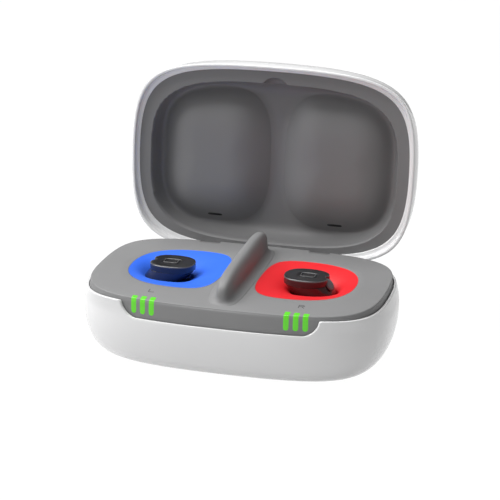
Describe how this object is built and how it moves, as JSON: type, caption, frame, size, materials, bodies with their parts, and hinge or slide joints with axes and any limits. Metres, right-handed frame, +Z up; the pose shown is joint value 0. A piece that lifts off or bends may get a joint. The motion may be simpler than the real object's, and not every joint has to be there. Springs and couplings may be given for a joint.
{
  "type": "hearing aid charger",
  "caption": "Pocket charging case for in-canal hearing aids: rounded base with coloured cups, a dividing fin and light bars, a lined lid hinged open at the rear, and an aid in each cup.",
  "frame": {"origin": "centre of the foot pad's underside, on the surface that the charger stands on", "axes": "+Z up, -Y towards the front with the light bars, +X towards the right (red) cup, the lid hinge at +Y"},
  "size_m": [0.0954, 0.0797, 0.0827],
  "materials": {
    "shell_white": "gloss",
    "deck_grey": "satin",
    "liner_grey": "satin",
    "cup_blue": "satin",
    "cup_red": "satin",
    "bar_green": "translucent",
    "frame_plastic": "moulded",
    "aid_black": "gloss",
    "aid_blue": "translucent",
    "aid_red": "translucent",
    "sleeve_rubber": "matte",
    "foot_rubber": "matte",
    "steel": "brushed",
    "cell_foil": "satin",
    "board_green": "coated",
    "chip_black": "matte",
    "coil_copper": "enamelled wire",
    "ferrite": "matte",
    "lens_grey": "gloss"
  },
  "bodies": {
    "base": {"base_shell": "shell_white", "deck_tray": "deck_grey", "left_cup": "cup_blue", "right_cup": "cup_red", "left_light_bar_1": "bar_green", "left_light_bar_2": "bar_green", "left_light_bar_3": "bar_green", "left_charging_coil": "coil_copper", "left_ferrite_sheet": "ferrite", "left_hinge_pin": "steel", "right_light_bar_1": "bar_green", "right_light_bar_2": "bar_green", "right_light_bar_3": "bar_green", "right_charging_coil": "coil_copper", "right_ferrite_sheet": "ferrite", "right_hinge_pin": "steel", "chassis_frame": "frame_plastic", "usb_tongue": "frame_plastic", "battery_cell": "cell_foil", "main_board": "board_green", "indicator_board": "board_green", "board_components": "chip_black", "lid_sensor": "chip_black", "ribbon_cable": "chip_black", "status_leds": "bar_green", "usb_socket": "steel", "base_magnets": "steel", "case_screws": "steel", "tray_screws": "steel", "board_screws": "steel", "foot_pad": "foot_rubber"},
    "lid": {"lid_shell": "shell_white", "lid_liner": "liner_grey", "lid_magnets": "steel", "left_hinge_arm": "steel", "right_hinge_arm": "steel", "hinge_arm_screws": "steel"},
    "left_aid": {"left_aid_faceplate": "aid_black", "left_aid_microphones": "aid_black", "left_aid_shell": "aid_blue", "left_aid_sleeve": "sleeve_rubber", "left_aid_lens": "lens_grey", "left_aid_cell": "cell_foil", "left_aid_receiver": "steel"},
    "right_aid": {"right_aid_faceplate": "aid_black", "right_aid_microphones": "aid_black", "right_aid_shell": "aid_red", "right_aid_sleeve": "sleeve_rubber", "right_aid_lens": "lens_grey", "right_aid_cell": "cell_foil", "right_aid_receiver": "steel"},
    "left_aid_button": {"left_aid_button": "aid_black"},
    "right_aid_button": {"right_aid_button": "aid_black"}
  },
  "joints": [
    {"name": "lid_hinge", "type": "hinge", "parent": "base", "child": "lid", "pos_m": [0, 0.0302, 0.0208], "axis": [-1, 0, 0], "range_deg": [-91.3, 0]},
    {"name": "left_aid_lift", "type": "slide", "parent": "base", "child": "left_aid", "axis": [0, 0, 1], "range_m": [0, 0.018]},
    {"name": "right_aid_lift", "type": "slide", "parent": "base", "child": "right_aid", "axis": [0, 0, 1], "range_m": [0, 0.018]},
    {"name": "left_aid_button_press", "type": "slide", "parent": "left_aid", "child": "left_aid_button", "axis": [0, 0, -1], "range_m": [0, 0.0003], "stiffness_N_per_m": 300},
    {"name": "right_aid_button_press", "type": "slide", "parent": "right_aid", "child": "right_aid_button", "axis": [0, 0, -1], "range_m": [0, 0.0003], "stiffness_N_per_m": 300}
  ]
}
